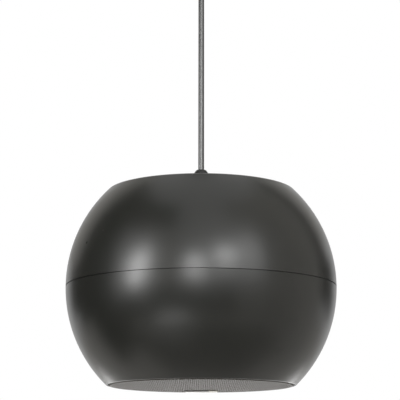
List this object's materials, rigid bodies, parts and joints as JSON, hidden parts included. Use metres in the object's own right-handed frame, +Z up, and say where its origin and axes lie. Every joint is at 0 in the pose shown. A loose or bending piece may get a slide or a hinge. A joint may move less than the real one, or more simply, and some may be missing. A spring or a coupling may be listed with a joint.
{
  "type": "pendant speaker",
  "caption": "Ball-shaped pendant loudspeaker, flat at top and mouth, hung on its own cord from a ceiling cup, with a full-range driver behind a perforated grille.",
  "frame": {"origin": "on the ceiling, in the middle of the ceiling bracket's top face, over the cord", "axes": "+Z up along the cord, +X along the ceiling bracket, +Y away from the side that the picture shows"},
  "size_m": [0.26, 0.26, 0.4489],
  "materials": {
    "shell_abs": "satin charcoal moulded ABS",
    "zinc_steel": "zinc-plated steel",
    "black_steel": "black coated steel",
    "grille_steel": "satin brown-grey powder coat",
    "grille_cloth": "black acoustic cloth",
    "badge_aluminium": "dark anodised, bare",
    "black_rubber": "matte rubber",
    "ring_card": "pressed black card",
    "fibre_board": "resin board with tinned tags",
    "ferrite": "ground ferrite",
    "former_aluminium": "thin rolled sheet",
    "copper_wire": "enamelled copper wire",
    "cone_paper": "pressed black paper pulp",
    "spider_cloth": "resin-stiffened cloth",
    "gland_nylon": "black moulded nylon",
    "cord_pvc": "glossy black flexible PVC",
    "terminal_plastic": "pale moulded polyamide",
    "core_steel": "stacked silicon-steel sheets",
    "wire_pvc": "insulated hook-up wire"
  },
  "bodies": {
    "housing": {"upper_shell": "shell_abs", "lower_shell": "shell_abs", "housing_screws": "zinc_steel", "grille": "grille_steel", "grille_cloth": "grille_cloth", "badge_plate": "badge_aluminium", "driver_basket": "black_steel", "driver_gasket": "black_rubber", "driver_front_ring": "ring_card", "driver_screws": "zinc_steel", "driver_terminals": "fibre_board", "motor_front_plate": "zinc_steel", "motor_magnet": "ferrite", "motor_yoke": "zinc_steel", "motor_rivets": "zinc_steel", "surround": "black_rubber", "spider": "spider_cloth", "gland_washer": "black_rubber", "gland_body": "gland_nylon", "gland_seal": "black_rubber", "gland_dome_nut": "gland_nylon", "gland_locknut": "gland_nylon", "load_plate": "zinc_steel", "cord_stop": "zinc_steel", "inner_cord": "cord_pvc", "terminal_block": "terminal_plastic", "terminal_screw": "zinc_steel", "transformer_core": "core_steel", "transformer_winding": "copper_wire", "transformer_bracket": "zinc_steel", "transformer_screws": "zinc_steel", "transformer_leads": "wire_pvc", "driver_leads": "wire_pvc", "cord": "cord_pvc", "ceiling_cup": "shell_abs", "ceiling_bracket": "zinc_steel", "cup_screws": "black_steel", "ceiling_grip": "gland_nylon", "ceiling_grip_nut": "gland_nylon", "ceiling_cord_stop": "zinc_steel", "ceiling_tail": "cord_pvc", "ceiling_terminal": "terminal_plastic"},
    "cone_assembly": {"cone": "cone_paper", "whizzer_cone": "cone_paper", "dust_cap": "cone_paper", "coil_former": "former_aluminium", "coil_winding": "copper_wire"}
  },
  "joints": [
    {"name": "cone_travel", "type": "slide", "parent": "housing", "child": "cone_assembly", "axis": [0, 0, 1], "range_m": [-0.003, 0.003], "stiffness_N_per_m": 1500, "deforming": ["surround", "spider"]}
  ]
}
